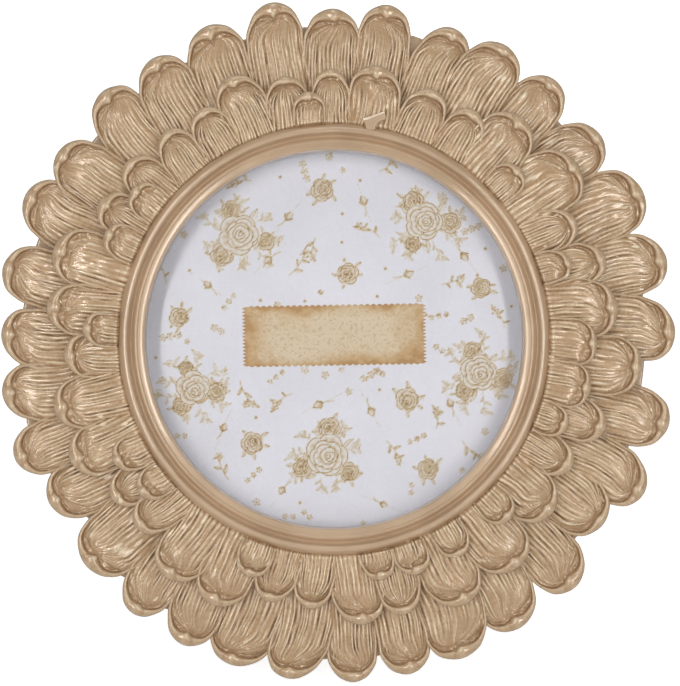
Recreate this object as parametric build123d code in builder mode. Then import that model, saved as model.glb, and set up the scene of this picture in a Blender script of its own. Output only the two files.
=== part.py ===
from build123d import *
from math import cos, radians, sin, tan
import os

# Round photo frame: a cast wreath of petals round a circular window, leaning back on a folding strut.
# Millimetres and degrees. +X is to the right, the face looks towards -Y, and +Z is up from the floor.
# The origin is on the floor, under the middle of the whole frame.
# Heights on the casting are measured forwards from its flat back. Positions round it are clock angles,
# in degrees clockwise from the top as seen from the front.

# How the frame stands
lean = 16.0
foot_reach = 90.1
window_offset = 1.1

# Clearances and overruns
seat_clearance = 0.05
running_clearance = 0.08
stack_clearance = 0.3
cut_overrun = 12.0

# Window and the stack behind it
sight_radius = 49.6
pane_radius = 52.0
glass_thickness = 2.0
print_thickness = 0.3
board_thickness = 3.0
flock_thickness = 0.4
board_recess = 0.1

# Ring moulding round the window: a broad inner bead, a crease and a narrow outer bead
ring_radius = 57.0
ring_seat = 0.6
groove_radius = 53.8
groove_height = 11.6
outer_bead_height = 15.0
inner_bead_height = 12.9
sight_lip_height = 10.0

# Small cast lug on the ring's outer edge
lug_clock = 10.0
lug_root = 1.2
lug_left = 2.8
lug_left_rise = 1.8
lug_right = 2.3
lug_right_rise = 4.2
lug_stem_left = 2.0
lug_stem_right = 0.8
lug_height = 14.4

# Slab behind the petals
slab_radius = 82.3
slab_height = 4.0

# Three rows of petals: reach from the middle of the window, half width, height of the rim round each
# petal, depth of the hollow behind the rim at its tip, and radius of the ground the row stands on
outer_reach = 90.0
outer_half_width = 7.4
outer_rim_height = 9.0
outer_hollow_depth = 4.0
outer_tip_width = 2.8
outer_ground_radius = 70.0
outer_bevel_width = 1.6
outer_bevel_share = 0.6

middle_reach = 74.0
middle_half_width = 6.6
middle_rim_height = 13.0
middle_hollow_depth = 4.0
middle_tip_width = 2.6
middle_ground_radius = 60.0

inner_reach = 66.0
inner_half_width = 4.5
inner_rim_height = 15.4
inner_hollow_depth = 2.8
inner_tip_width = 2.1
inner_ground_radius = 56.0

side_rim_width = 1.2
hollow_rise = 15.0
row_sink = 2.0

# Outline of a petal, as shares of its half width
shoulder_share = 1.75
cheek_share = 0.95
cheek_width_share = 0.88
foot_width_share = 0.7

# Each petal: clock angle, then its reach and half width as shares of its row's
outer_petal_shares = (
    (359.5, 0.970, 0.98), (9.4, 0.993, 0.93), (20.8, 0.978, 0.95), (29.9, 0.998, 1.04), (40.6, 1.000, 0.96),
    (51.9, 0.986, 1.03), (64.0, 1.004, 1.08), (76.0, 1.003, 1.03), (88.0, 1.002, 1.07), (104.3, 1.013, 1.03),
    (115.7, 1.014, 1.00), (124.0, 0.957, 1.06), (135.2, 1.014, 1.01), (146.5, 1.007, 1.04), (157.0, 1.008, 1.06),
    (166.9, 1.007, 0.92), (176.7, 1.008, 0.90), (187.2, 1.010, 0.98), (197.0, 1.002, 1.05), (207.0, 1.002, 0.93),
    (216.8, 0.998, 0.92), (227.5, 0.986, 1.09), (239.7, 0.964, 1.02), (249.6, 1.000, 0.93), (260.0, 0.987, 1.00),
    (270.2, 0.978, 1.02), (282.0, 0.994, 1.00), (294.2, 1.000, 1.02), (304.0, 0.978, 1.02), (316.0, 0.996, 1.00),
    (326.3, 0.980, 1.01), (337.3, 0.992, 1.03), (348.9, 1.009, 0.97),
)
middle_petal_shares = (
    (359.0, 0.959, 0.83), (9.5, 0.984, 1.06), (21.5, 0.954, 0.93), (31.8, 0.954, 0.90), (40.4, 1.032, 1.14),
    (53.8, 1.064, 1.24), (63.3, 0.957, 0.92), (73.0, 1.007, 0.88), (82.8, 1.014, 1.18), (95.4, 1.097, 1.20),
    (108.0, 1.014, 0.90), (118.0, 0.959, 0.86), (128.4, 0.991, 1.12), (141.4, 1.041, 1.18), (153.7, 1.050, 1.12),
    (165.4, 1.008, 0.89), (174.6, 1.019, 1.03), (184.6, 0.961, 0.86), (193.7, 0.959, 0.89), (204.7, 1.038, 1.08),
    (215.1, 1.035, 1.08), (225.5, 0.970, 0.88), (234.2, 0.973, 0.85), (245.1, 1.031, 1.05), (256.0, 1.024, 1.08),
    (266.2, 0.962, 0.96), (276.6, 1.027, 1.02), (287.9, 1.047, 1.12), (300.2, 0.966, 0.91), (310.5, 0.970, 0.90),
    (320.3, 0.950, 0.89), (329.8, 0.946, 0.88), (338.8, 1.004, 1.00), (348.7, 0.950, 0.94),
)
inner_petal_shares = (
    (47.4, 1.005, 0.98), (71.4, 0.989, 0.95), (90.5, 1.045, 1.22), (100.9, 1.038, 1.22), (110.3, 0.989, 0.98),
    (135.8, 1.000, 0.98), (149.5, 0.995, 1.00), (160.3, 0.991, 0.98), (169.0, 0.974, 0.97), (200.0, 1.000, 1.00),
    (231.3, 0.988, 0.96), (240.5, 1.003, 0.98), (272.4, 1.000, 0.96), (294.7, 1.003, 1.00), (306.3, 1.000, 1.02),
    (353.7, 0.989, 0.93),
)

# Hinge of the strut, a little above the middle of the board
strut_open_angle = 28.0
hinge_up = 15.0
hinge_pin_radius = 1.0
pin_head_radius = 1.5
pin_head_length = 0.7
barrel_radius = 2.0
barrel_gap = 0.3
knuckle_length = 8.0
knuckle_gap = 0.2
leaf_width = 24.0
leaf_length = 14.0
leaf_thickness = 0.6
leaf_corner_radius = 2.0

# Rivets, in pairs
rivet_spacing = 14.0
rivet_radius = 1.2
rivet_head_radius = 2.3
rivet_head_height = 0.8
rivet_end_gap = 0.2

# Strut
strut_top_width = 28.0
strut_foot_width = 44.0
strut_board_thickness = 2.2
strut_cover_thickness = 0.3
strut_top_gap = 0.4

# Turn buttons that hold the board, each on its own screw
button_clocks = (45.0, 135.0, 225.0, 315.0)
button_length = 17.0
button_tail = 5.7
button_width = 7.0
button_thickness = 0.8
button_overhang = 3.6
button_gap = 0.1
screw_radius = 1.3
screw_depth = 5.0
screw_head_radius = 2.6
screw_head_height = 1.5
screw_head_round = 0.6
screw_slot_width = 0.7
screw_slot_depth = 0.6

# Hanger plate with its eye, above the hinge
hanger_up = 39.0
hanger_width = 22.0
hanger_plate_height = 8.0
hanger_thickness = 0.8
hanger_corner_radius = 1.5
hanger_eye_rise = 5.5
hanger_eye_radius = 6.0
hanger_hole_radius = 3.5

# Depths of the stack, from the back forwards
board_rear = board_recess + flock_thickness
board_front = board_rear + board_thickness
print_front = board_front + print_thickness
rebate_depth = print_front + glass_thickness
rebate_radius = pane_radius + stack_clearance

# Depths in the strut, forwards from the hinge pin
hinge_back = board_recess - barrel_gap - barrel_radius
strut_rear = leaf_thickness - barrel_radius
strut_board_rear = strut_rear + strut_cover_thickness
strut_board_front = strut_board_rear + strut_board_thickness
strut_front = strut_board_front + strut_cover_thickness

# Where the frame stands
strut_tilt = strut_open_angle - lean
foot_rise = foot_reach * cos(radians(lean))
foot_setback = foot_reach * sin(radians(lean))
hinge_rise = foot_rise + hinge_up * cos(radians(lean)) + hinge_back * sin(radians(lean))
hinge_setback = foot_setback + hinge_up * sin(radians(lean)) - hinge_back * cos(radians(lean))
strut_setback = hinge_setback + hinge_rise * tan(radians(strut_tilt)) - strut_rear / cos(radians(strut_tilt))
frame_middle = (strut_setback - outer_rim_height) / 2

# Directions and planes: the face leans back, and the strut leans the other way
ACROSS = Vector(1, 0, 0)
UP = Vector(0, sin(radians(lean)), cos(radians(lean)))
FORWARD = Vector(0, -cos(radians(lean)), sin(radians(lean)))
STRUT_UP = Vector(0, -sin(radians(strut_tilt)), cos(radians(strut_tilt)))
CENTRE = Vector(-window_offset, foot_setback - frame_middle, foot_rise)
FACE = Plane(CENTRE, x_dir=ACROSS, z_dir=FORWARD)
FACE_AXIS = Axis(CENTRE, FORWARD)
HINGE = CENTRE + UP * hinge_up + FORWARD * hinge_back
STRUT = Plane(HINGE, x_dir=ACROSS, z_dir=ACROSS.cross(STRUT_UP))
FLOOR = Plane.XY


def outward(clock):
    """Direction away from the middle of the window."""
    return ACROSS * sin(radians(clock)) + UP * cos(radians(clock))


def place_on_face(clock, reach, forward):
    """Plane along the face at a place on it: x runs outward and y anticlockwise."""
    return Plane(CENTRE + outward(clock) * reach + FORWARD * forward, x_dir=outward(clock), z_dir=FORWARD)


def across_hinge(start):
    """Plane square to the hinge pin."""
    return Plane(HINGE + ACROSS * start, x_dir=ACROSS.cross(FORWARD), z_dir=ACROSS)


def petal_outline(foot, tip, half_width):
    """Tongue along x: a round tip, wide shoulders and a narrower foot."""
    shoulder = tip - shoulder_share * half_width
    cheek = tip - cheek_share * half_width
    cheek_width = cheek_width_share * half_width
    foot_width = foot_width_share * half_width
    with BuildSketch(Plane.XY) as outline:
        with BuildLine():
            Polyline((foot, -foot_width), (shoulder, -half_width), (cheek, -cheek_width))
            ThreePointArc((cheek, -cheek_width), (tip, 0), (cheek, cheek_width))
            Polyline((cheek, cheek_width), (shoulder, half_width), (foot, foot_width))
            Line((foot, foot_width), (foot, -foot_width))
        make_face()
    return outline.sketch


def petal_hollow(clock, foot, tip, half_width, rim, depth):
    """Cut for one petal's hollow: deepest just behind the tip, and running out towards the foot."""
    side = FORWARD.cross(outward(clock))
    slope = outward(clock) * cos(radians(hollow_rise)) - FORWARD * sin(radians(hollow_rise))
    bottom = CENTRE + outward(clock) * tip + FORWARD * (rim - depth)
    outline = petal_outline(foot - tip, 0, half_width)
    with BuildPart() as hollow:
        with BuildSketch(Plane(bottom, x_dir=slope, z_dir=slope.cross(side))):
            add(outline)
        extrude(amount=2 * depth)
    return hollow.part


def petal_row(shares, reach, half_width, tip_width, ground_radius, start, rim, depth):
    """One row of petals: a raised star of tongues, with a hollow in each."""
    foot = ground_radius - half_width
    outlines = []
    hollows = []
    for clock, reach_share, width_share in shares:
        tip = reach * reach_share
        width = half_width * width_share
        outlines.append((petal_outline(foot, tip, width), clock))
        hollows.append(petal_hollow(clock, foot, tip - tip_width, width - side_rim_width, rim, depth))
    with BuildPart() as row:
        with BuildSketch(FACE.offset(start)):
            Circle(ground_radius)
            for outline, clock in outlines:
                add(outline, rotation=90 - clock)
        extrude(amount=rim - start)
        add(hollows, mode=Mode.SUBTRACT)
    return row.part


def barrel(start, length, bore_radius):
    """Length of hinge barrel round the pin."""
    with BuildPart() as knuckle:
        with BuildSketch(across_hinge(start)):
            Circle(barrel_radius)
            Circle(bore_radius, mode=Mode.SUBTRACT)
        extrude(amount=length)
    return knuckle.part


def rivet_pair(plane, up, seat, end):
    """Two rivets: round heads behind their seat, and shanks forward to their ends."""
    places = [(-rivet_spacing / 2, up), (rivet_spacing / 2, up)]
    with BuildPart() as pair:
        with BuildSketch(plane.offset(seat)):
            with Locations(places):
                Circle(rivet_head_radius)
        extrude(amount=-rivet_head_height)
        rear = pair.faces().group_by(Axis(plane.origin, plane.z_dir))[0]
        fillet(rear.edges(), radius=rivet_head_height / 2)
        with BuildSketch(plane.offset(seat)):
            with Locations(places):
                Circle(rivet_radius)
        extrude(amount=end - seat)
    return pair.part


def rivet_holes(plane, up):
    """Two holes for rivets, through all that they join."""
    with BuildPart() as holes:
        with BuildSketch(plane.offset(-cut_overrun)):
            with Locations((-rivet_spacing / 2, up), (rivet_spacing / 2, up)):
                Circle(rivet_radius + seat_clearance)
        extrude(amount=2 * cut_overrun)
    return holes.part


os.makedirs("parts", exist_ok=True)

# Casting
outer_row = petal_row(
    outer_petal_shares, outer_reach, outer_half_width, outer_tip_width, outer_ground_radius,
    0, outer_rim_height, outer_hollow_depth,
)
middle_row = petal_row(
    middle_petal_shares, middle_reach, middle_half_width, middle_tip_width, middle_ground_radius,
    slab_height - row_sink, middle_rim_height, middle_hollow_depth,
)
inner_row = petal_row(
    inner_petal_shares, inner_reach, inner_half_width, inner_tip_width, inner_ground_radius,
    slab_height - row_sink, inner_rim_height, inner_hollow_depth,
)

outer_bead = (ring_radius - groove_radius) / 2
with BuildPart() as ring:
    with BuildSketch(Plane(CENTRE, x_dir=ACROSS, z_dir=ACROSS.cross(FORWARD))):
        with BuildLine():
            Line((groove_radius, groove_height), (groove_radius, outer_bead_height - outer_bead))
            ThreePointArc(
                (groove_radius, outer_bead_height - outer_bead),
                (groove_radius + outer_bead, outer_bead_height),
                (ring_radius, outer_bead_height - outer_bead),
            )
            Polyline(
                (ring_radius, outer_bead_height - outer_bead), (ring_radius, 0), (rebate_radius, 0),
                (rebate_radius, rebate_depth), (sight_radius, rebate_depth), (sight_radius, sight_lip_height),
            )
            ThreePointArc(
                (sight_radius, sight_lip_height),
                ((sight_radius + groove_radius) / 2, inner_bead_height),
                (groove_radius, groove_height),
            )
        make_face()
    revolve(axis=FACE_AXIS)

bevel_drop = outer_bevel_share * (cut_overrun + outer_bevel_width)
button_pivot = rebate_radius - button_overhang + button_length - button_tail
with BuildPart() as petal_frame:
    with BuildSketch(FACE):
        Circle(slab_radius)
    extrude(amount=slab_height)
    add([outer_row, middle_row, inner_row])
    with BuildSketch(Plane(CENTRE, x_dir=ACROSS, z_dir=ACROSS.cross(FORWARD))):
        with BuildLine():
            Polyline(
                (outer_reach - outer_bevel_width, outer_rim_height),
                (outer_reach + cut_overrun, outer_rim_height - bevel_drop),
                (outer_reach + cut_overrun, outer_rim_height + cut_overrun),
                (outer_reach - outer_bevel_width, outer_rim_height),
            )
        make_face()
    revolve(axis=FACE_AXIS, mode=Mode.SUBTRACT)
    with BuildSketch(FACE.offset(-cut_overrun)):
        Circle(ring_radius - ring_seat)
    extrude(amount=inner_rim_height + 2 * cut_overrun, mode=Mode.SUBTRACT)
    add(ring.part)
    with BuildSketch(place_on_face(lug_clock, ring_radius, slab_height)):
        with BuildLine():
            Polyline(
                (-lug_root, lug_stem_left), (lug_left_rise, lug_left), (lug_right_rise, -lug_right),
                (-lug_root, -lug_stem_right), (-lug_root, lug_stem_left),
            )
        make_face()
    extrude(amount=lug_height - slab_height)
    for clock in button_clocks:
        with BuildSketch(place_on_face(clock, button_pivot, 0)):
            Circle(screw_radius + seat_clearance)
        extrude(amount=screw_depth + seat_clearance, mode=Mode.SUBTRACT)
    split(bisect_by=FLOOR, keep=Keep.TOP)
petal_frame.part.label = "petal_frame"
export_step(petal_frame.part, "parts/petal_frame.step")

# Stack in the rebate: pane, printed insert, and board with its velvety cover
board_rivets_up = hinge_up + barrel_radius + leaf_length / 2
board_holes = rivet_holes(FACE, board_rivets_up)
hanger_holes = rivet_holes(FACE, hanger_up)

with BuildPart() as glass_pane:
    with BuildSketch(FACE.offset(print_front)):
        Circle(pane_radius)
    extrude(amount=glass_thickness)
glass_pane.part.label = "glass_pane"
export_step(glass_pane.part, "parts/glass_pane.step")

with BuildPart() as photo_print:
    with BuildSketch(FACE.offset(board_front)):
        Circle(pane_radius)
    extrude(amount=print_thickness)
photo_print.part.label = "photo_print"
export_step(photo_print.part, "parts/photo_print.step")

with BuildPart() as back_board:
    with BuildSketch(FACE.offset(board_rear)):
        Circle(pane_radius)
    extrude(amount=board_thickness)
    add([board_holes, hanger_holes], mode=Mode.SUBTRACT)
back_board.part.label = "back_board"
export_step(back_board.part, "parts/back_board.step")

with BuildPart() as board_flocking:
    with BuildSketch(FACE.offset(board_recess)):
        Circle(pane_radius)
    extrude(amount=flock_thickness)
    add([board_holes, hanger_holes], mode=Mode.SUBTRACT)
board_flocking.part.label = "board_flocking"
export_step(board_flocking.part, "parts/board_flocking.step")

# Hinge: one leaf riveted to the board, the other to the strut, and the pin through both
leaf_foot = hinge_up + barrel_radius
middle_knuckle = barrel(-knuckle_length / 2, knuckle_length, hinge_pin_radius + seat_clearance)
with BuildPart() as hinge_board_leaf:
    with BuildSketch(FACE.offset(board_recess)):
        with Locations((0, leaf_foot + leaf_length / 2)):
            RectangleRounded(leaf_width, leaf_length, leaf_corner_radius)
        with Locations((0, (hinge_up + leaf_foot + leaf_corner_radius) / 2)):
            Rectangle(knuckle_length, barrel_radius + leaf_corner_radius)
    extrude(amount=-leaf_thickness)
    add(middle_knuckle)
    add(board_holes, mode=Mode.SUBTRACT)
hinge_board_leaf.part.label = "hinge_board_leaf"
export_step(hinge_board_leaf.part, "parts/hinge_board_leaf.step")

strut_top = -barrel_radius - strut_top_gap
strut_rivets_up = strut_top - leaf_length / 2
strut_holes = rivet_holes(STRUT, strut_rivets_up)
side_start = knuckle_length / 2 + knuckle_gap
side_length = leaf_width / 2 - side_start
side_middle = side_start + side_length / 2
side_knuckles = [
    barrel(side_start, side_length, hinge_pin_radius + running_clearance),
    barrel(-leaf_width / 2, side_length, hinge_pin_radius + running_clearance),
]
with BuildPart() as hinge_strut_leaf:
    with BuildSketch(STRUT.offset(-barrel_radius)):
        with Locations((0, strut_rivets_up)):
            RectangleRounded(leaf_width, leaf_length, leaf_corner_radius)
        with Locations(
            (side_middle, (strut_top - leaf_corner_radius) / 2),
            (-side_middle, (strut_top - leaf_corner_radius) / 2),
        ):
            Rectangle(side_length, leaf_corner_radius - strut_top)
    extrude(amount=leaf_thickness)
    add(side_knuckles)
    add(strut_holes, mode=Mode.SUBTRACT)
hinge_strut_leaf.part.label = "hinge_strut_leaf"
export_step(hinge_strut_leaf.part, "parts/hinge_strut_leaf.step")

pin_end = leaf_width / 2 + knuckle_gap
with BuildPart() as hinge_pin:
    with BuildSketch(across_hinge(-pin_end)):
        Circle(hinge_pin_radius)
    extrude(amount=2 * pin_end)
    with BuildSketch(across_hinge(pin_end)):
        Circle(pin_head_radius)
    extrude(amount=pin_head_length)
    with BuildSketch(across_hinge(-pin_end)):
        Circle(pin_head_radius)
    extrude(amount=-pin_head_length)
hinge_pin.part.label = "hinge_pin"
export_step(hinge_pin.part, "parts/hinge_pin.step")

board_rivets = rivet_pair(FACE, board_rivets_up, board_recess - leaf_thickness, board_front - rivet_end_gap)
board_rivets.label = "board_rivets"
export_step(board_rivets, "parts/board_rivets.step")

# Strut: a tapered board with a velvety cover on each side, cut level with the floor
strut_end = -cut_overrun - hinge_rise / cos(radians(strut_tilt))
with BuildSketch(Plane.XY) as strut_outline:
    with BuildLine():
        Polyline(
            (-strut_top_width / 2, strut_top), (strut_top_width / 2, strut_top),
            (strut_foot_width / 2, strut_end), (-strut_foot_width / 2, strut_end),
            (-strut_top_width / 2, strut_top),
        )
    make_face()

with BuildPart() as strut_board:
    with BuildSketch(STRUT.offset(strut_board_rear)):
        add(strut_outline.sketch)
    extrude(amount=strut_board_thickness)
    split(bisect_by=FLOOR, keep=Keep.TOP)
    add(strut_holes, mode=Mode.SUBTRACT)
strut_board.part.label = "strut_board"
export_step(strut_board.part, "parts/strut_board.step")

with BuildPart() as strut_flocking:
    for start in (strut_rear, strut_board_front):
        with BuildSketch(STRUT.offset(start)):
            add(strut_outline.sketch)
        extrude(amount=strut_cover_thickness)
    split(bisect_by=FLOOR, keep=Keep.TOP)
    add(strut_holes, mode=Mode.SUBTRACT)
strut_flocking.part.label = "strut_flocking"
export_step(strut_flocking.part, "parts/strut_flocking.step")

strut_rivets = rivet_pair(STRUT, strut_rivets_up, -barrel_radius, strut_front - rivet_end_gap)
strut_rivets.label = "strut_rivets"
export_step(strut_rivets, "parts/strut_rivets.step")

# Turn buttons on the back of the casting, and their screws
for number, clock in enumerate(button_clocks, start=1):
    with BuildPart() as turn_button:
        with BuildSketch(place_on_face(clock, button_pivot, -button_gap)):
            with Locations((button_tail - button_length / 2, 0)):
                SlotOverall(button_length, button_width)
            Circle(screw_radius + running_clearance, mode=Mode.SUBTRACT)
        extrude(amount=-button_thickness)
    turn_button.part.label = f"turn_button_{number}"
    export_step(turn_button.part, f"parts/turn_button_{number}.step")

screw_seat = -2 * button_gap - button_thickness
with BuildPart() as turn_button_screws:
    for clock in button_clocks:
        with BuildSketch(place_on_face(clock, button_pivot, screw_seat)):
            Circle(screw_head_radius)
        extrude(amount=-screw_head_height)
    rear = turn_button_screws.faces().group_by(FACE_AXIS)[0]
    fillet(rear.edges(), radius=screw_head_round)
    for clock in button_clocks:
        with BuildSketch(place_on_face(clock, button_pivot, screw_seat - screw_head_height)):
            Rectangle(2 * screw_head_radius, screw_slot_width)
        extrude(amount=screw_slot_depth, mode=Mode.SUBTRACT)
        with BuildSketch(place_on_face(clock, button_pivot, screw_seat)):
            Circle(screw_radius)
        extrude(amount=screw_depth - screw_seat)
turn_button_screws.part.label = "turn_button_screws"
export_step(turn_button_screws.part, "parts/turn_button_screws.step")

# Hanger plate and its rivets
with BuildPart() as hanger_plate:
    with BuildSketch(FACE.offset(board_recess)):
        with Locations((0, hanger_up)):
            RectangleRounded(hanger_width, hanger_plate_height, hanger_corner_radius)
        with Locations((0, hanger_up + hanger_eye_rise)):
            Circle(hanger_eye_radius)
            Circle(hanger_hole_radius, mode=Mode.SUBTRACT)
    extrude(amount=-hanger_thickness)
    add(hanger_holes, mode=Mode.SUBTRACT)
hanger_plate.part.label = "hanger_plate"
export_step(hanger_plate.part, "parts/hanger_plate.step")

hanger_rivets = rivet_pair(FACE, hanger_up, board_recess - hanger_thickness, board_front - rivet_end_gap)
hanger_rivets.label = "hanger_rivets"
export_step(hanger_rivets, "parts/hanger_rivets.step")
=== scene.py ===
import math

import bmesh
import bpy
import numpy as np
from mathutils import Matrix, Vector


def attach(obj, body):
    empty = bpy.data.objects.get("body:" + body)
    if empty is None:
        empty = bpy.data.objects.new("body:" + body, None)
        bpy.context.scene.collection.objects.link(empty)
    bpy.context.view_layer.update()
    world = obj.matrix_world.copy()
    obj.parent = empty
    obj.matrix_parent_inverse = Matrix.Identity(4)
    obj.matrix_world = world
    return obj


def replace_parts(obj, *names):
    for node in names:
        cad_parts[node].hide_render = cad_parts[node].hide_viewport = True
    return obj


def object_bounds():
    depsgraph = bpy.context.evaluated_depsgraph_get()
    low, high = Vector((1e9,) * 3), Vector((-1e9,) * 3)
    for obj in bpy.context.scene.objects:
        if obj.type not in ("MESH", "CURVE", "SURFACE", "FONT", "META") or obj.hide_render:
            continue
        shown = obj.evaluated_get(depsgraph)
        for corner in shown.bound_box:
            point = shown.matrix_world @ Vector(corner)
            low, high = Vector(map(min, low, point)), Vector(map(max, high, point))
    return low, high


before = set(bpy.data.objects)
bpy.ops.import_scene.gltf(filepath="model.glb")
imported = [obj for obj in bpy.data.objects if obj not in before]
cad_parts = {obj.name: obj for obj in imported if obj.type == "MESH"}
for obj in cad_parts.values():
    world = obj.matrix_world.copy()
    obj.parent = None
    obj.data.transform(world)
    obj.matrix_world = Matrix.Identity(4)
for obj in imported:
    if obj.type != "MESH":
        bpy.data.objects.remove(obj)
scene = bpy.context.scene
cad_low, cad_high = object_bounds()

# ---- places
MM = 0.001
LEAN = math.radians(16.0)
LEAN_COS, LEAN_SIN = math.cos(LEAN), math.sin(LEAN)
CENTRE = (-1.1, 2.404457, 86.609679)  # middle of the window on the casting's back plane, mm
FACE = Matrix((
    (1, 0, 0, CENTRE[0] * MM),
    (0, LEAN_SIN, -LEAN_COS, CENTRE[1] * MM),
    (0, LEAN_COS, LEAN_SIN, CENTRE[2] * MM),
    (0, 0, 0, 1),
))
TAU = 2 * math.pi

# Radius of what lies in the rebate, and heights above the casting's back plane, mm
REBATE_RADIUS = 51.95
PRINT_BACK, PRINT_FRONT, LABEL_FRONT = 3.52, 3.72, 3.775
GLASS_BACK, GLASS_FRONT = 3.82, 5.78


def srgb(*colour):
    """A colour as seen in a picture, 0 to 255, as Blender's linear values."""
    shares = [v / 255 for v in colour]
    return (*(v / 12.92 if v <= 0.04045 else ((v + 0.055) / 1.055) ** 2.4 for v in shares), 1.0)


def grey(v):
    return v, v, v, 1


def smooth(a, b, x):
    """Smooth step from 0 at a to 1 at b."""
    t = np.clip((x - a) / (b - a), 0, 1)
    return t * t * (3 - 2 * t)


# ---- shader helpers. The tree that a node is made in is the one of the socket it starts from.
def fill(made, values):
    """Gives a node's inputs their values, or a link where the value is a socket."""
    for key, value in dict(values).items():
        if hasattr(value, "is_linked"):
            made.id_data.links.new(value, made.inputs[key])
        else:
            made.inputs[key].default_value = value


def node(tree, kind, values=(), **settings):
    """A node with its plain settings and what its inputs get."""
    made = tree.nodes.new("ShaderNode" + kind)
    for key, value in settings.items():
        setattr(made, key, value)
    fill(made, values)
    return made


def new_material(name):
    """A material, its tree, its shader and the place on the object."""
    mat = bpy.data.materials.new(name)
    mat.use_nodes = True
    tree = mat.node_tree
    return mat, tree, tree.nodes["Principled BSDF"], node(tree, "TexCoord").outputs["Object"]


def attribute(tree, name, output="Fac"):
    """Values that build() stores on a mesh's points."""
    return node(tree, "Attribute", attribute_name=name).outputs[output]


def ramp(factor, stops, interpolation="EASE"):
    made = node(factor.id_data, "ValToRGB", {"Fac": factor})
    made.color_ramp.interpolation = interpolation
    while len(made.color_ramp.elements) < len(stops):
        made.color_ramp.elements.new(0.5)
    for element, (place, colour) in zip(made.color_ramp.elements, stops):
        element.position, element.color = place, colour
    return made.outputs["Color"]


def tones(factor, *stops, interpolation="EASE"):
    """A ramp of colours as seen in a picture."""
    return ramp(factor, [(place, srgb(*colour)) for place, *colour in stops], interpolation)


def math_node(operation, a, b):
    return node(a.id_data, "Math", {0: a, 1: b}, operation=operation).outputs[0]


def times(a, b):
    return math_node("MULTIPLY", a, b)


def mix_colour(factor, a, b):
    """A mix of two colours, which are inputs 6 and 7 and output 2 of the node."""
    return node(a.id_data, "Mix", {0: factor, 6: a, 7: b}, data_type="RGBA").outputs[2]


def noise(vector, scale, detail=4.0, rough=0.55):
    values = {"Vector": vector, "Scale": scale, "Detail": detail, "Roughness": rough}
    return node(vector.id_data, "TexNoise", values).outputs["Fac"]


def bump(principled, height, strength, distance, under=None):
    """A bump on the shader's normal, on top of the one under it. The distance is in metres."""
    made = node(height.id_data, "Bump", {"Strength": strength, "Distance": distance, "Height": height})
    if under is not None:
        fill(made, {"Normal": under})
    fill(principled, {"Normal": made.outputs["Normal"]})
    return made.outputs["Normal"]


# ---- materials
# Tones of the carved paint, from patina with painted shade in the deepest grooves at 0 to painted highlight on the
# ridges at 1
PATINA_AND_LIGHT_TONES = ((0.0, 85, 56, 33), (0.40, 133, 100, 69), (0.72, 169, 136, 99), (0.9, 187, 154, 117),
                (1.0, 209, 180, 146))
PATINA_AND_LIGHT_SHARE = 0.85  # how much of the colour these tones make
STREAK_HIGHLIGHT_SHARE, CREST_HIGHLIGHT_SHARE = 0.45, 0.85  # how much the painted highlight streaks and the painted highlight on the crests cover


def paint_material(name, carved, low, high):
    """Champagne taupe paint on a resin casting: satin, and where carved, patina with painted shade in grooves and
    painted highlights on ridges and crests.
    """
    mat, tree, p, place = new_material(name)
    cloud = noise(place, 55.0, 3.0)
    speck = noise(place, 900.0, 2.0)
    colour = ramp(cloud, ((0.32, low), (0.68, high)))
    if carved:
        carve = attribute(tree, "carve")
        streak = noise(attribute(tree, "grain", "Vector"), 0.95, 1.0, 0.5)
        # The petals' attribute gives patina with painted shade in the hollows and painted highlight on the ridges.
        colour = mix_colour(PATINA_AND_LIGHT_SHARE, colour, tones(attribute(tree, "patina_and_painted_light"), *PATINA_AND_LIGHT_TONES))
        # Pale streaks along the ridges and a pale colour on convex crests: painted highlights.
        streak_highlight = times(carve, ramp(streak, ((0.50, grey(0)), (0.68, grey(STREAK_HIGHLIGHT_SHARE)))))
        colour = mix_colour(streak_highlight, colour, srgb(222, 198, 164))
        edge = node(tree, "NewGeometry").outputs["Pointiness"]
        crest = ramp(edge, ((0.505, grey(0)), (0.57, grey(1))))
        colour = mix_colour(times(crest, CREST_HIGHLIGHT_SHARE), colour, srgb(242, 224, 196))
    smoothest, roughest = (0.24, 0.34) if carved else (0.30, 0.32)
    rough = ramp(speck, ((0.3, grey(smoothest)), (0.7, grey(roughest))))
    fill(p, {
        "Metallic": 0.1, "Specular IOR Level": 0.8, "Specular Tint": (1.0, 0.90, 0.77, 1.0), "Coat IOR": 1.6,
        "Coat Weight": 0.6 if carved else 0.85, "Coat Roughness": 0.1 if carved else 0.16, "Base Color": colour,
        "Roughness": rough,
    })
    if carved:
        under = bump(p, noise(place, 1500.0, 3.0), 0.05, 0.0001)
        bump(p, times(carve, streak), 0.3, 0.0004, under)
    else:
        bump(p, noise(place, 120.0, 1.0), 0.1, 0.00005)
    return mat


def metal_material(name, light, dark, rough):
    """Brushed plated sheet metal."""
    mat, tree, p, place = new_material(name)
    stretched = node(tree, "Mapping", {"Scale": (1.0, 0.12, 1.0), "Vector": place}).outputs["Vector"]
    brushed = noise(stretched, 400.0, 5.0, 0.6)
    blotch = noise(place, 90.0, 3.0)
    fill(p, {
        "Metallic": 1.0, "Base Color": ramp(blotch, ((0.3, dark), (0.7, light))),
        "Roughness": ramp(brushed, ((0.25, grey(rough - 0.08)), (0.75, grey(rough + 0.12)))),
    })
    bump(p, brushed, 0.25, 0.0001)
    return mat


def flock_material(name):
    """Short black nap glued on paper."""
    mat, _, p, place = new_material(name)
    nap = noise(place, 2600.0, 3.0, 0.7)
    brushed = noise(place, 60.0, 4.0)
    tone = mix_colour(0.5, tones(brushed, (0.3, 22, 21, 22), (0.7, 38, 36, 37)),
                      tones(nap, (0.3, 14, 13, 14), (0.75, 54, 52, 53)))
    fill(p, {"Roughness": 0.95, "Specular IOR Level": 0.2, "Sheen Weight": 0.35, "Sheen Roughness": 0.5,
             "Base Color": tone})
    bump(p, nap, 0.6, 0.0003)
    return mat


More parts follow.
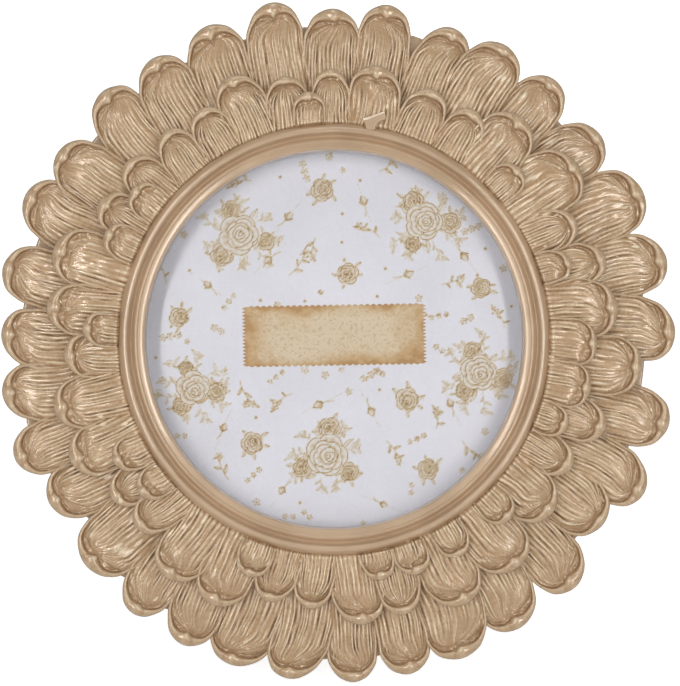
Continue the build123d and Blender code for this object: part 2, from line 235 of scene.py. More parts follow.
def fibre_material(name):
    """Brown fibreboard seen at cut edges."""
    mat, tree, p, place = new_material(name)
    flat = node(tree, "Mapping", {"Scale": (1.0, 6.0, 1.0), "Vector": place}).outputs["Vector"]
    fibres = noise(flat, 700.0, 6.0, 0.7)
    fill(p, {"Roughness": 0.85, "Base Color": tones(fibres, (0.3, 104, 80, 56), (0.7, 158, 128, 94))})
    bump(p, fibres, 0.5, 0.0002)
    return mat


def paper_material(name):
    """Off-white paper with motifs in gold-beige ink, paler and darker along them."""
    mat, tree, p, place = new_material(name)
    soft = noise(place, 35.0, 3.0)
    fine = noise(place, 1800.0, 3.0)
    plain = mix_colour(0.25, tones(soft, (0.3, 207, 204, 211), (0.7, 215, 212, 219)),
                       tones(fine, (0.35, 200, 197, 205), (0.65, 219, 216, 222)))
    patch = noise(place, 500.0, 4.0)
    cover = math_node("ADD", times(patch, 0.7), 0.65)
    worn = times(attribute(tree, "tint"), cover)
    gold = tones(worn, (0.0, 211, 207, 208), (0.25, 204, 195, 184), (0.55, 184, 160, 124),
                 (0.95, 126, 94, 56), interpolation="LINEAR")
    inked = ramp(worn, ((0.0, grey(0)), (0.18, grey(1))), "LINEAR")
    fill(p, {"Roughness": 0.62, "Base Color": mix_colour(inked, plain, gold)})
    bump(p, fine, 0.12, 0.00005)
    return mat


def label_material(name):
    """Aged parchment: pale in the middle, golden brown and mottled at its edge."""
    mat, tree, p, place = new_material(name)
    mottle = noise(place, 260.0, 5.0, 0.65)
    speck = noise(place, 1400.0, 3.0, 0.7)
    broad = noise(place, 90.0, 3.0)
    cloud = math_node("ADD", math_node("SUBTRACT", mottle, 0.5), math_node("SUBTRACT", broad, 0.5))
    worn = math_node("ADD", attribute(tree, "edge"), times(cloud, 1.5))
    tone = tones(worn, (0.0, 172, 132, 84), (0.25, 188, 156, 114), (0.6, 198, 175, 144), (1.0, 205, 187, 160))
    spots = times(ramp(speck, ((0.36, grey(1)), (0.50, grey(0)))), 0.5)
    fill(p, {"Roughness": 0.6, "Base Color": mix_colour(spots, tone, srgb(166, 134, 96))})
    bump(p, mottle, 0.1, 0.00005)
    return mat


def glass_material(name):
    """Clear pane. Lamps shine through it, so that what lies behind is lit."""
    mat, tree, p, place = new_material(name)
    haze = noise(place, 30.0, 2.0)
    fill(p, {"Base Color": (0.985, 0.992, 0.99, 1), "Transmission Weight": 1.0, "IOR": 1.45,
             "Roughness": ramp(haze, ((0.3, grey(0.0)), (0.7, grey(0.012))))})
    clear = node(tree, "BsdfTransparent", {"Color": (0.97, 0.98, 0.98, 1)})
    shade = node(tree, "LightPath").outputs["Is Shadow Ray"]
    both = node(tree, "MixShader", {0: shade, 1: p.outputs[0], 2: clear.outputs[0]})
    fill(tree.nodes["Material Output"], {"Surface": both.outputs[0]})
    return mat


carved_paint = paint_material("petal_paint", True, srgb(173, 140, 103), srgb(189, 155, 117))
plain_paint = paint_material("ring_paint", False, srgb(190, 161, 130), srgb(203, 174, 143))
# A pale paint for the lug's upper slope: a painted highlight.
highlight_paint = paint_material("highlight_paint", False, srgb(236, 216, 190), srgb(246, 230, 206))
paper = paper_material("print_paper")
parchment = label_material("parchment")
pane = glass_material("clear_pane")
flock = flock_material("black_flock")
fibre = fibre_material("fibreboard")
zinc = metal_material("zinc", srgb(206, 206, 204), srgb(170, 171, 172), 0.32)
brass = metal_material("brass_plate", srgb(214, 184, 122), srgb(182, 150, 92), 0.30)


# ---- mesh helpers
def build(name, points, faces, material, attributes=None):
    """A mesh from points in face millimetres: x across, y up the face, z towards the viewer."""
    mesh = bpy.data.meshes.new(name)
    mesh.from_pydata((np.asarray(points, float) * MM).tolist(), [], faces)
    mesh.polygons.foreach_set("use_smooth", [True] * len(mesh.polygons))
    for key, values in (attributes or {}).items():
        values = np.asarray(values, np.float32)
        kind = "FLOAT" if values.ndim == 1 else "FLOAT_VECTOR"
        made = mesh.attributes.new(key, kind, "POINT")
        made.data.foreach_set("value" if kind == "FLOAT" else "vector", values.ravel())
    mesh.materials.append(material)
    mesh.transform(FACE)
    mesh.update()
    piece = bpy.data.objects.new(name, mesh)
    scene.collection.objects.link(piece)
    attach(piece, "frame")
    return piece


# ---- petals
# Each row of numbers is one petal: clock angle and radius of its tip, clock angle of its body, half its width
# in degrees, width of its hood at the tip, and the side where the hood's fold ends: 1 clockwise, -1 the other
# side, 0 a plain hood.
outer_row = (
    (359.7, 87.3, 359.3, 5.3, 3.3, 1), (9.3, 89.4, 9.6, 4.9, 3.2, -1), (21.2, 88.0, 20.3, 5.0, 3.2, 1),
    (30.3, 89.8, 29.5, 5.6, 2.9, 1), (40.7, 90.0, 40.4, 5.1, 3.0, -1), (52.3, 88.7, 51.5, 5.6, 2.7, 1),
    (64.2, 90.4, 63.8, 6.3, 2.9, 1), (76.3, 90.3, 75.6, 5.6, 2.9, 1), (88.7, 90.0, 87.3, 5.9, 2.8, 1),
    (104.3, 91.2, 104.2, 5.4, 3.0, 1), (116.2, 91.3, 115.2, 5.2, 3.1, 1), (124.2, 86.1, 123.8, 6.0, 2.3, 0),
    (135.6, 91.3, 134.8, 5.3, 3.3, 1), (147.0, 90.6, 146.0, 5.7, 3.1, 1), (157.6, 90.7, 156.3, 5.9, 3.2, 1),
    (167.2, 90.6, 166.6, 4.8, 3.1, -1), (176.7, 90.7, 176.8, 4.6, 2.7, -1), (187.6, 90.4, 185.7, 5.3, 3.0, 1),
    (197.6, 90.2, 196.4, 5.9, 2.9, 1), (206.7, 90.0, 207.3, 4.9, 3.2, -1), (216.6, 89.8, 217.0, 4.8, 2.9, -1),
    (227.5, 88.7, 227.4, 6.2, 3.4, 1), (239.9, 86.8, 239.5, 5.6, 2.8, 1), (249.6, 90.0, 249.7, 4.9, 3.0, -1),
    (260.5, 88.8, 259.4, 5.4, 3.1, 1), (270.8, 87.9, 269.6, 5.6, 3.2, 1), (282.1, 89.5, 281.8, 5.4, 2.8, 1),
    (294.9, 90.0, 293.6, 5.5, 3.2, 1), (304.1, 88.0, 304.0, 5.6, 2.8, -1), (316.6, 89.6, 315.3, 5.4, 3.2, 1),
    (326.9, 88.2, 325.8, 5.5, 3.4, 1), (337.8, 89.3, 336.9, 5.6, 3.5, 1), (349.3, 90.4, 348.4, 5.1, 3.6, 1),
)
middle_row = (
    (359.2, 71.0, 358.9, 4.6, 2.0, 0), (9.2, 72.8, 9.7, 6.0, 3.3, -1), (21.8, 70.6, 21.2, 5.3, 2.4, 0),
    (31.8, 70.6, 31.9, 5.1, 2.5, 0), (40.5, 76.4, 40.4, 6.3, 3.1, -1), (54.2, 78.7, 53.4, 6.8, 2.5, 1),
    (63.8, 70.8, 62.8, 5.2, 2.1, 0), (73.3, 74.5, 72.7, 4.8, 2.5, 0), (83.5, 75.0, 82.0, 6.5, 3.0, 1),
    (95.3, 81.2, 95.5, 6.0, 2.7, 0), (108.2, 75.0, 107.8, 4.9, 2.6, 0), (118.2, 71.0, 117.8, 4.8, 2.7, 0),
    (128.6, 73.3, 128.2, 6.2, 2.8, -1), (141.0, 77.0, 141.7, 6.4, 2.9, -1), (153.5, 77.7, 153.9, 6.0, 2.9, -1),
    (165.5, 74.6, 165.3, 4.8, 2.1, 0), (174.3, 75.4, 174.9, 5.6, 3.0, -1), (185.0, 71.1, 184.3, 4.8, 1.8, 0),
    (194.0, 71.0, 193.4, 5.0, 2.1, 0), (204.8, 76.8, 204.6, 5.8, 3.0, -1), (215.3, 76.6, 214.9, 5.8, 3.0, -1),
    (226.2, 71.8, 224.8, 4.9, 2.5, 0), (234.2, 72.0, 234.2, 4.7, 2.5, 0), (245.2, 76.3, 245.0, 5.6, 3.8, -1),
    (256.0, 75.8, 255.9, 5.8, 3.6, 0), (266.5, 71.2, 265.8, 5.4, 2.8, 0), (276.7, 76.0, 276.6, 5.5, 4.0, -1),
    (287.8, 77.5, 288.0, 6.0, 3.9, -1), (300.3, 71.5, 300.0, 5.1, 2.9, 0), (310.5, 71.8, 310.5, 5.0, 2.3, 0),
    (320.7, 70.3, 319.9, 5.0, 2.0, 0), (329.8, 70.0, 329.7, 5.0, 2.2, 0), (338.5, 74.3, 339.0, 5.5, 2.8, -1),
    (349.0, 70.3, 348.3, 5.3, 1.9, 0),
)
inner_row = (
    (47.5, 66.3, 47.2, 4.2, 2.3, 0), (71.8, 65.3, 70.9, 4.1, 1.8, 1), (91.0, 69.0, 90.0, 5.2, 2.3, 0),
    (101.0, 68.5, 100.8, 5.2, 2.6, 0), (110.3, 65.3, 110.4, 4.2, 2.0, 0), (135.8, 66.0, 135.8, 4.2, 2.2, 0),
    (149.5, 65.7, 149.5, 4.3, 1.7, 0), (160.3, 65.4, 160.3, 4.2, 2.5, 1), (168.8, 64.3, 169.2, 4.2, 2.3, 1),
    (200.0, 66.0, 199.9, 4.3, 2.0, 1), (231.5, 65.2, 231.1, 4.1, 3.0, 1), (240.8, 66.2, 240.2, 4.2, 2.9, 1),
    (272.5, 66.0, 272.2, 4.1, 2.7, 1), (294.8, 66.2, 294.5, 4.3, 2.7, 1), (306.5, 66.0, 306.3, 4.4, 2.7, 1),
    (353.8, 65.3, 353.6, 4.0, 2.5, 1),
)
front_petals = (30.3, 124.2, 157.6, 187.6, 304.1, 326.9)
back_petals = (176.7, 197.6)
FOOT_RADIUS = 55.6

# Heights above the casting's back plane, mm: side rim at the foot, hood at the tip, face under the hood, face at
# the foot, underside; then the tip's length above the widest place, ridges across and their depth, and counts.
row_forms = {
    "outer": dict(rim_foot=7.4, hood=8.9, scoop=7.6, crown=9.8, crown_radius=69.0, under=0.14, tip_length=10.8,
                  ridges=13, depth=0.64, side=26, tip=26, across=34, rim_side=0.80, foot_share=-0.12, drop=1.6,
                  fold_run=2.6, spread=5.2, lobe_end=3.0, foot_dip=0.0),
    "middle": dict(rim_foot=11.2, hood=12.8, scoop=11.6, crown=13.3, crown_radius=60.0, under=2.2, tip_length=9.4,
                   ridges=12, depth=0.56, side=19, tip=24, across=32, rim_side=0.75, foot_share=-0.08, drop=1.5,
                   fold_run=2.2, spread=4.7, lobe_end=2.6, foot_dip=1.0),
    "inner": dict(rim_foot=13.4, hood=15.1, scoop=13.9, crown=14.8, crown_radius=58.0, under=6.0, tip_length=6.2,
                  ridges=9, depth=0.40, side=13, tip=20, across=24, rim_side=0.65, foot_share=0.06, drop=1.1,
                  fold_run=1.7, spread=3.5, lobe_end=2.0, foot_dip=1.9),
}
RIM_STEPS = np.array((0, 0.035, 0.12, 0.26, 0.42, 0.58, 0.74, 0.88, 0.965, 1.0, 1.06, 1.18, 1.4))
GRID_START = RIM_STEPS[-1]  # where the even grid of the face starts, in widths of the rim

# What all petals have in common: lengths in mm, shares and exponents
HALF_RISE = 1.0  # the half width is measured this far above the widest place
BODY_GAIN, HOOD_GAIN = 1.06, 1.1  # on the measured half width and hood, whose edges are rounded
FOOT_CURVE, TIP_CURVE = 1.7, 0.77  # curves of the outline beside the foot and round the tip
RIM_WAVES = ((0.10, 2.1), (0.07, 0.93))  # depth and length of the outline's waves
FOCUS_SHARE = 0.42  # where the grid's lines meet, as a share of the tip's length
LEAST_SLANT = 0.6  # least slant of a grid's line to the outline that is counted
MOST_RIM = 0.66  # most of the way inwards that the rim may take
PLAIN_SPREAD, FOLDED_SPREAD = 0.95, 1.15  # factors on the hood's spread along the outline
NO_FOLD = 40.0  # a place along the outline that no petal reaches
LOBE_HEIGHT, LOBE_LENGTH = 0.35, 1.9  # the hood's high end beside its fold
PAST_DEPTH, PAST_LENGTH = 0.15, 3.0  # the low place of the hood past its fold
PAST_THINNER = 0.12  # how much thinner the hood is past its fold
CREST_AT = 0.64  # the rim's crest, as a share of its width
RIM_ROUNDING, OUTER_FALL, INNER_FALL = 0.55, 1.5, 1.2  # how far the rim falls: a share of its width, and at most
CREASE_GAP, CREASE_SHIFT = 0.4, 1.9  # the point under the hood that the ridges run to
EXTRA_RIDGES = 8  # ridges past both sides of the face, which the rim hides
GROOVE_HALF = 0.34  # half a groove's width
FINEST_RIDGE = 0.75  # narrower ridges fade
NOTCH_DEPTH, NOTCH_HALF = 0.12, 0.45  # the nick where the fold ends
WALL_STEPS = ((0.30, -0.05), (0.72, 0.0), (1.0, 0.45))  # share of the way down, and the step inwards
WALL_PAINTED_SHADE, UNDERSIDE_PAINTED_SHADE = 0.45, 0.4  # painted shade: darker tones of the outer wall and the underside


def bell(x, width):
    return np.exp(-(x / width) ** 2)


def petal_shell(spec, form, lift, rng):
    """One petal as a closed shell: faces, then points and the three attributes of its paint."""
    tip_clock, reach, clock, half, hood_width, fold = spec
    hood_width = HOOD_GAIN * hood_width
    length = form["tip_length"]
    widest = reach - length
    half_width = math.radians(half) * (widest + HALF_RISE) * BODY_GAIN

    def ripple(phase):
        return np.sin(phase + rng.uniform(0, TAU))

    # The outline, from the left foot over the tip to the right foot.
    side_s = np.linspace(FOOT_RADIUS, widest, form["side"], endpoint=False)
    fall = (widest - side_s) / (widest - FOOT_RADIUS)
    side_w = half_width * (1 - form["foot_share"] * fall ** FOOT_CURVE)
    angle = np.linspace(0, math.pi / 2, form["tip"])
    s_half = np.concatenate((side_s, widest + length * np.sin(angle) ** TIP_CURVE))
    w_half = np.concatenate((side_w, half_width * np.cos(angle)))
    s_line = np.concatenate((s_half, s_half[-2::-1]))
    x_line = np.concatenate((-w_half, w_half[-2::-1]))
    count = len(s_line)
    middle = count // 2
    step = np.hypot(np.diff(x_line), np.diff(s_line))
    run = np.concatenate(((0,), np.cumsum(step)))
    run -= run[middle]
    wave = sum(depth * ripple(run / spacing) for depth, spacing in RIM_WAVES)
    wave = wave * smooth(widest - 8, widest, s_line) * (1 - smooth(reach - 0.8, reach, s_line))
    x_line = x_line + np.sign(x_line) * wave

    # Each line of the grid runs inwards from the outline: level along the sides, towards one point at the tip.
    focus_s = widest + FOCUS_SHARE * length
    level = s_line < focus_s
    to_x = -x_line
    to_s = np.where(level, 0.0, focus_s - s_line)
    reach_in = np.hypot(to_x, to_s)
    dir_x, dir_s = to_x / reach_in, to_s / reach_in
    tangent_x, tangent_s = np.gradient(x_line), np.gradient(s_line)
    square = np.abs(dir_x * tangent_s - dir_s * tangent_x) / np.hypot(tangent_x, tangent_s)
    square[0] = square[-1] = 1.0
    square = np.maximum(square, LEAST_SLANT)

    # The hood's width along the outline, thick beside the fold and thin past it.
    side_rim = form["rim_side"]
    turned = run * (fold if fold else 1)
    fold_run = form["fold_run"] if fold else NO_FOLD
    lobe_end = form["lobe_end"]
    lobe_middle = fold_run - 0.75 * lobe_end if fold else 0.0
    spread = form["spread"] * (FOLDED_SPREAD if fold else PLAIN_SPREAD)
    thick = side_rim + (hood_width - side_rim) * np.exp(-(np.abs(turned - lobe_middle) / spread) ** 1.9)
    past = np.zeros(count)
    if fold:
        past = 1 - np.clip(1 - (np.maximum(turned - lobe_middle, 0) / lobe_end) ** 2, 0, 1) ** 0.7
        thin = side_rim + 0.45 * np.exp(-np.abs(turned - fold_run) / 2.5)
        thick = np.maximum(thick * (1 - PAST_THINNER * past), thin)
    lobe_rise = LOBE_HEIGHT * bell(turned - lobe_middle, LOBE_LENGTH) * (1 - past) - PAST_DEPTH * past * np.exp(
        -np.maximum(turned - fold_run, 0) / PAST_LENGTH)
    thick = thick * (1 + 0.06 * ripple(run / 1.7))
    rim_line = np.minimum(thick / square, reach_in * MOST_RIM)

    # Places of the grid's points.
    inner = np.linspace(0, 1, form["across"] + 1)[1:]
    lam = np.concatenate((np.outer(rim_line, RIM_STEPS), GRID_START * rim_line[:, None] + np.outer(
        reach_in - GRID_START * rim_line, inner)), axis=1)
    lam = np.minimum(lam, reach_in[:, None])
    across, along = lam * dir_x[:, None] + x_line[:, None], lam * dir_s[:, None] + s_line[:, None]
    width_in = lam * square[:, None]
    rim_width = np.maximum(rim_line * square, 0.3)[:, None]
    past_rim = width_in - rim_width

    # Heights of the rim and of the hollow face inside it.
    rise = 0.35 * smooth(FOOT_RADIUS, widest, along) + 0.65 * smooth(widest - 7.0, reach - 1.5, along)
    rim_top = form["rim_foot"] + (form["hood"] - form["rim_foot"]) * rise
    rim_top = rim_top + (lobe_rise * smooth(widest, reach - 1.0, s_line))[:, None] * bell(
        np.maximum(past_rim, 0), 1.2)
    outside = np.clip(1 - width_in / (CREST_AT * rim_width), 0, 1)
    within = np.clip((width_in - CREST_AT * rim_width) / ((1 - CREST_AT) * rim_width), 0, 1)
    out_fall, in_fall = (np.minimum(RIM_ROUNDING * rim_width, most) for most in (OUTER_FALL, INNER_FALL))
    bead = rim_top - out_fall * (1 - np.sqrt(1 - outside ** 2)) - in_fall * (1 - np.sqrt(1 - within ** 2))
    crease_s = reach - hood_width - CREASE_GAP
    from_crease = (crease_s - along) / (crease_s - form["crown_radius"])
    crown = form["scoop"] + (form["crown"] - form["scoop"]) * np.sin(
        np.clip(from_crease, 0, 1) * math.pi / 2) ** 0.60
    edge = rim_top - (0.40 + form["drop"] * smooth(widest + 0.5, reach - 2.0, along))
    body_w = np.maximum(np.interp(along, s_half, w_half) - side_rim * 1.15, 0.35)
    share = np.clip(np.abs(across) / body_w, 0, 1)
    face = crown - (crown - edge) * share ** 2.3

    # Ridges and grooves run from the foot to the fold. Place is -1 to 1 across the face along each of them.
    lines_t = np.clip((along - widest) / (crease_s - widest), 0, 1)
    lines_w = np.maximum((half_width - side_rim) * (1 - lines_t ** 2.2) ** 0.62, 0.16 * half_width)
    lines_w = np.where(along < widest, body_w, np.minimum(lines_w, np.maximum(body_w, 0.9)))
    place = (across - fold * CREASE_SHIFT * smooth(0.15, 1.0, lines_t)) / lines_w
    bend = 1 - np.clip(np.abs(place), 0, 1) ** 2
    place = place + bend * (0.022 * ripple(along / 2.6) + 0.010 * ripple(along / 1.3 + 5 * place))
    off_middle = np.clip(np.abs(place), 0, 1)
    ridge_count = form["ridges"] + EXTRA_RIDGES
    widths = rng.uniform(0.55, 1.45, ridge_count)
    borders = np.concatenate(((0,), np.cumsum(widths))) * 2 / form["ridges"]
    borders -= borders[ridge_count // 2] + rng.uniform(-0.06, 0.06)
    index = np.clip(np.searchsorted(borders, place) - 1, 0, ridge_count - 1)
    ridge_share = borders[index + 1] - borders[index]
    within_ridge = np.clip((place - borders[index]) / ridge_share, 0, 1)
    ridge_mm = ridge_share * lines_w
    next_border = index + np.round(within_ridge).astype(int)
    border_mm = np.minimum(within_ridge, 1 - within_ridge) * ridge_mm
    depths = rng.uniform(0.05, 1.25, ridge_count + 1) ** 1.7
    starts = rng.uniform(-0.1, 0.6, ridge_count + 1)
    hills = rng.uniform(0.3, 1.2, ridge_count)
    swell = rng.uniform(0, TAU, ridge_count + 1)
    tempo = rng.uniform(0.5, 1.4, ridge_count + 1)
    ends = rng.uniform(0.75, 1.5, ridge_count + 1)
    from_foot = np.clip(from_crease, 0, 1.2)
    middle_part = 1 - smooth(0.45, 0.8, np.abs(place))
    grown, grown_ridge = (smooth(0.03, 0.38, from_foot - 0.6 * starts[line] * middle_part)
                          for line in (next_border, index))
    fading = 1 - 0.7 * smooth(0.0, 0.3, from_foot - ends[next_border])
    fine = np.clip(ridge_mm / FINEST_RIDGE, 0.0, 1.0)
    groove = (np.clip(1 - border_mm / GROOVE_HALF, 0, 1) ** 1.3 * depths[next_border] * (0.15 + 0.85 * grown)
              * fading * fine)
    groove = groove * (0.72 + 0.45 * np.sin(along * tempo[next_border] + swell[next_border]))
    hill = (1 - (2 * within_ridge - 1) ** 2) * hills[index] * (0.4 + 0.6 * grown_ridge) * fine
    hill = hill * (0.80 + 0.35 * np.sin(along * tempo[index] * 0.8 + swell[index]))
    outer_gain = 0.80 + 0.45 * off_middle ** 2
    inside = smooth(0.0, 0.6, past_rim)
    face = face + form["depth"] * inside * (hill * 0.95 - groove * outer_gain * 0.85 - 0.3)
    face = face + 0.16 * ripple(along / 2.7 + 3.1 * place) * inside

    # The rim and the face together, with the nick at the fold's end.
    beyond = width_in > rim_width
    join = np.exp(-np.maximum(past_rim, 0) / 0.16)
    top = np.where(beyond, face + (np.maximum(rim_top - in_fall, face) - face) * join, bead)
    fold_gap = bell(turned - fold_run - 0.35, NOTCH_HALF)[:, None] if fold else 0.0
    notch = NOTCH_DEPTH * fold_gap * smooth(0.3, 1.2, width_in) * bell(np.maximum(width_in - 3.0, 0), 0.8)
    top = top + lift * smooth(FOOT_RADIUS, widest, along) - notch - form["foot_dip"] * smooth(57.1, 56.5, along)

    # The paint's attributes: patina with painted shade in the hollows and painted highlight on the ridges, where the
    # face is carved, and a place that runs with the ridges.
    hood_painted_shadow = bell(past_rim, 0.8) * smooth(widest - 3.0, reach - 3.0, along)
    # Darker for patina with painted shade in the grooves, and for painted shade under the hood, inside the rim, in the
    # nick and at the outline; lighter for painted highlight on the ridge tops.
    patina_and_painted_light = (1 - np.where(beyond, 0.9 * groove * outer_gain * inside, 0.0) - 0.26 * hood_painted_shadow * beyond
              - 0.22 * bell(width_in - rim_width * 1.12, 0.28) - 0.25 * notch - 0.12 * bell(width_in, 0.25)
              + 0.22 * hill * inside)
    patina_and_painted_light = np.clip(patina_and_painted_light, 0, 1.2) / 1.2
    carve = beyond * fine ** 2 * smooth(0.1, 1.3, past_rim)
    grain = np.stack((place * form["ridges"] * 1.5, along * 0.07, np.full(along.shape, clock * 0.37)), axis=-1)

    # Numbers of the points. Lines that run level share a point of the spine; the others meet in one point.
    columns = lam.shape[1]
    own = columns - 1
    ids = np.empty((count, columns), int)
    ids[:, :own] = np.arange(count * own).reshape(count, own)
    level_count = int(np.sum(level[:middle + 1]))
    spine_first = count * own
    mirrored = np.minimum(np.arange(count), count - 1 - np.arange(count))
    ids[:, own] = spine_first + np.minimum(mirrored, level_count)
    spine_count = level_count + 1
    spine = np.append(np.arange(level_count), middle), own
    parts = []

    def add(x, s, z, *attributes):
        """Points at x across and s up the petal. A petal that leans to one side is bent there towards its tip."""
        body_turn = clock + ((tip_clock - clock + 180) % 360 - 180) * smooth(widest - 6, reach, s)
        a = np.radians(body_turn) + x / s
        places = np.stack((s * np.sin(a), s * np.cos(a), z + 0 * s), axis=-1)
        parts.append((places.reshape(-1, 3), *(v.reshape(-1, *v.shape[x.ndim:]) for v in attributes)))

    for part in ((slice(None), slice(own)), spine):
        add(across[part], along[part], top[part], patina_and_painted_light[part], grain[part], carve[part])
    under = form["under"]
    walls = []
    next_id = spine_first + spine_count
    for share_down, inset in WALL_STEPS:
        z = top[:, 0] + (under + 0.45 - top[:, 0]) * share_down if share_down < 1 else np.full(count, under)
        add(x_line + dir_x * inset, s_line + dir_s * inset, z, np.full(count, WALL_PAINTED_SHADE), grain[:, 0],
            np.zeros(count))
        walls.append(next_id + np.arange(count))
        next_id += count
    add(across[spine], along[spine], np.full(spine_count, under), np.full(spine_count, UNDERSIDE_PAINTED_SHADE),
        grain[spine], np.zeros(spine_count))
    under_ids = next_id + np.minimum(mirrored, level_count)

    faces = []
    for k in range(count - 1):
        for m in range(columns - 1):
            quad = (ids[k, m], ids[k, m + 1], ids[k + 1, m + 1], ids[k + 1, m])
            faces.append(quad if quad[1] != quad[2] else (quad[0], quad[1], quad[3]))
        chain = (ids[:, 0], *walls)
        for upper, lower in zip(chain, chain[1:]):
            faces.append((upper[k], upper[k + 1], lower[k + 1], lower[k]))
        quad = (walls[-1][k], walls[-1][k + 1], under_ids[k + 1], under_ids[k])
        faces.append(quad if quad[2] != quad[3] else quad[:3])
    faces.append((*ids[-1], *ids[0, :own][::-1], *(w[0] for w in walls), under_ids[0], *(w[-1] for w in walls[::-1])))
    return faces, *(np.concatenate(c) for c in zip(*parts))


FRONT_LIFT, BACK_LIFT, OTHER_LIFT = 0.9, -1.0, 0.25  # how far petals are lifted or sunk at their tips


def petal_group(specs, form, seed):
    """Several petals as one mesh: faces, then points and attributes."""
    shells, faces, first = [], [], 0
    for spec in specs:
        rng = np.random.default_rng(seed + int(spec[0] * 10))
        lift = (FRONT_LIFT if spec[0] in front_petals else BACK_LIFT if spec[0] in back_petals
                else rng.uniform(-OTHER_LIFT, OTHER_LIFT))
        tip_up = spec[1] * math.cos(math.radians(spec[0]))
        room = (CENTRE[1] + tip_up * LEAN_SIN - cad_low.y / MM) / LEAN_COS - form["hood"] - 0.5
        shell_faces, *shell = petal_shell(spec, form, min(lift, room), rng)
        shells.append(shell)
        faces.extend(tuple(int(i) + first for i in face) for face in shell_faces)
        first += len(shell[0])
    points, *attributes = (np.concatenate(c) for c in zip(*shells))
    z_world = CENTRE[2] + points[:, 1] * LEAN_COS + points[:, 2] * LEAN_SIN
    points[:, 1] += np.maximum(0.0, -z_world) / LEAN_COS
    return faces, points, *attributes


petal_rows = (
    ("petals_outer_a", outer_row[0::2], "outer", 100), ("petals_outer_b", outer_row[1::2], "outer", 200),
    ("petals_middle_a", middle_row[0::2], "middle", 300), ("petals_middle_b", middle_row[1::2], "middle", 400),
    ("petals_inner", inner_row, "inner", 500),
)
casting = []
for name, specs, row, seed in petal_rows:
    faces, points, *paint = petal_group(specs, row_forms[row], seed)
    casting.append(build(name, points, faces, carved_paint,
                         dict(zip(("patina_and_painted_light", "grain", "carve"), paint))))


# ---- ring and plate
# Clock angle and radius of the plate's edge, between the outer petals
valleys = (
    (3.5, 82.3), (14.7, 83.0), (25.0, 84.0), (34.9, 83.7), (45.7, 82.8), (57.2, 81.5), (69.7, 82.5), (81.3, 82.5),
    (93.5, 82.2), (97.5, 82.2), (109.5, 83.0), (121.0, 84.0), (128.3, 82.8), (140.3, 82.0), (151.7, 84.8),
    (161.8, 84.0), (172.2, 84.6), (181.8, 84.8), (191.2, 84.6), (201.9, 83.2), (212.3, 84.2), (222.0, 84.2),
    (233.7, 80.4), (244.3, 83.0), (254.8, 84.4), (265.0, 83.6), (275.5, 82.7), (287.8, 82.7), (299.3, 84.3),
    (309.8, 82.7), (321.3, 82.9), (331.5, 83.1), (342.6, 82.9), (354.5, 83.0),
)
# Radius and height: the rebate's step, the back, the plate's edge, then the moulding from outside to inside
ring_profile = (
    (49.6, 6.0), (49.75, 5.8), (52.3, 5.8), (52.3, 0.3), (52.6, 0.0), (60.0, 0.0), (81.4, 0.0), (82.0, 0.25),
    (82.3, 0.9), (82.3, 5.5), (82.2, 5.8), (82.05, 5.95), (81.85, 6.03), (81.6, 6.05), (81.2, 6.05), (76.0, 6.0),
    (70.0, 4.0), (57.6, 4.0), (56.9, 10.8), (56.7, 12.0), (56.5, 12.8), (56.2, 13.55), (55.9, 14.1), (55.6, 14.48),
    (55.38, 14.68), (55.1, 14.76), (54.75, 14.84), (54.5, 14.84), (54.3, 14.66), (54.12, 14.2), (53.96, 13.5),
    (53.78, 12.6), (53.6, 12.0), (53.4, 11.75), (53.2, 11.8), (53.0, 12.03), (52.8, 12.33), (52.6, 12.62),
    (52.4, 12.78), (52.15, 12.85), (51.95, 12.88), (51.78, 12.78), (51.64, 12.52), (51.52, 12.42), (51.4, 12.45),
    (51.2, 12.52), (50.85, 12.59), (50.5, 12.67), (50.15, 12.73), (49.98, 12.62), (49.82, 12.25), (49.7, 11.4),
    (49.62, 10.3), (49.6, 8.5),
)
PLATE_EDGE, STRETCH_FROM, STRETCH_TO = 82.3, 70.0, 81.0  # the plate's edge follows the valleys from here to there
MOULDING_BACK, BEAD_INSIDE, BEAD_OUTSIDE = 9.0, 54.0, 57.0
SHARP_ANGLE, FEW_CORNERS = 30, 8


def ring_piece():
    """The plate behind the petals and the ring moulding, slightly uneven like a casting."""
    segments = 720
    turn = np.arange(segments) * TAU / segments
    clocks, radii = zip(*sorted([*valleys, *((spec[2] % 360, 82.2) for spec in outer_row)]))
    edge = np.interp(np.degrees(turn), clocks, radii, period=360)
    rng = np.random.default_rng(7)
    flow = sum(rng.uniform(0.01, 0.03) * np.sin(n * turn + rng.uniform(0, TAU)) for n in range(2, 30))
    points = []
    for r, z in ring_profile:
        moulding = z > MOULDING_BACK
        radius = r + smooth(STRETCH_FROM, STRETCH_TO, r) * (edge - PLATE_EDGE) + (
            flow * 0.35 if moulding and BEAD_INSIDE < r < BEAD_OUTSIDE else 0)
        height = z + (flow * 0.4 if moulding else 0)
        points.append(np.stack((radius * np.sin(turn), radius * np.cos(turn), height + 0 * turn), axis=-1))
    count = len(ring_profile)
    corners = [(k, (k + 1) % count) for k in range(count)]
    starts = [(i * count, (i + 1) % segments * count) for i in range(segments)]
    faces = [(i + k, i + n, j + n, j + k) for i, j in starts for k, n in corners]
    piece = build("ring_and_plate", np.stack(points, axis=1).reshape(-1, 3), faces, plain_paint)
    finish_edges(piece)
    return piece


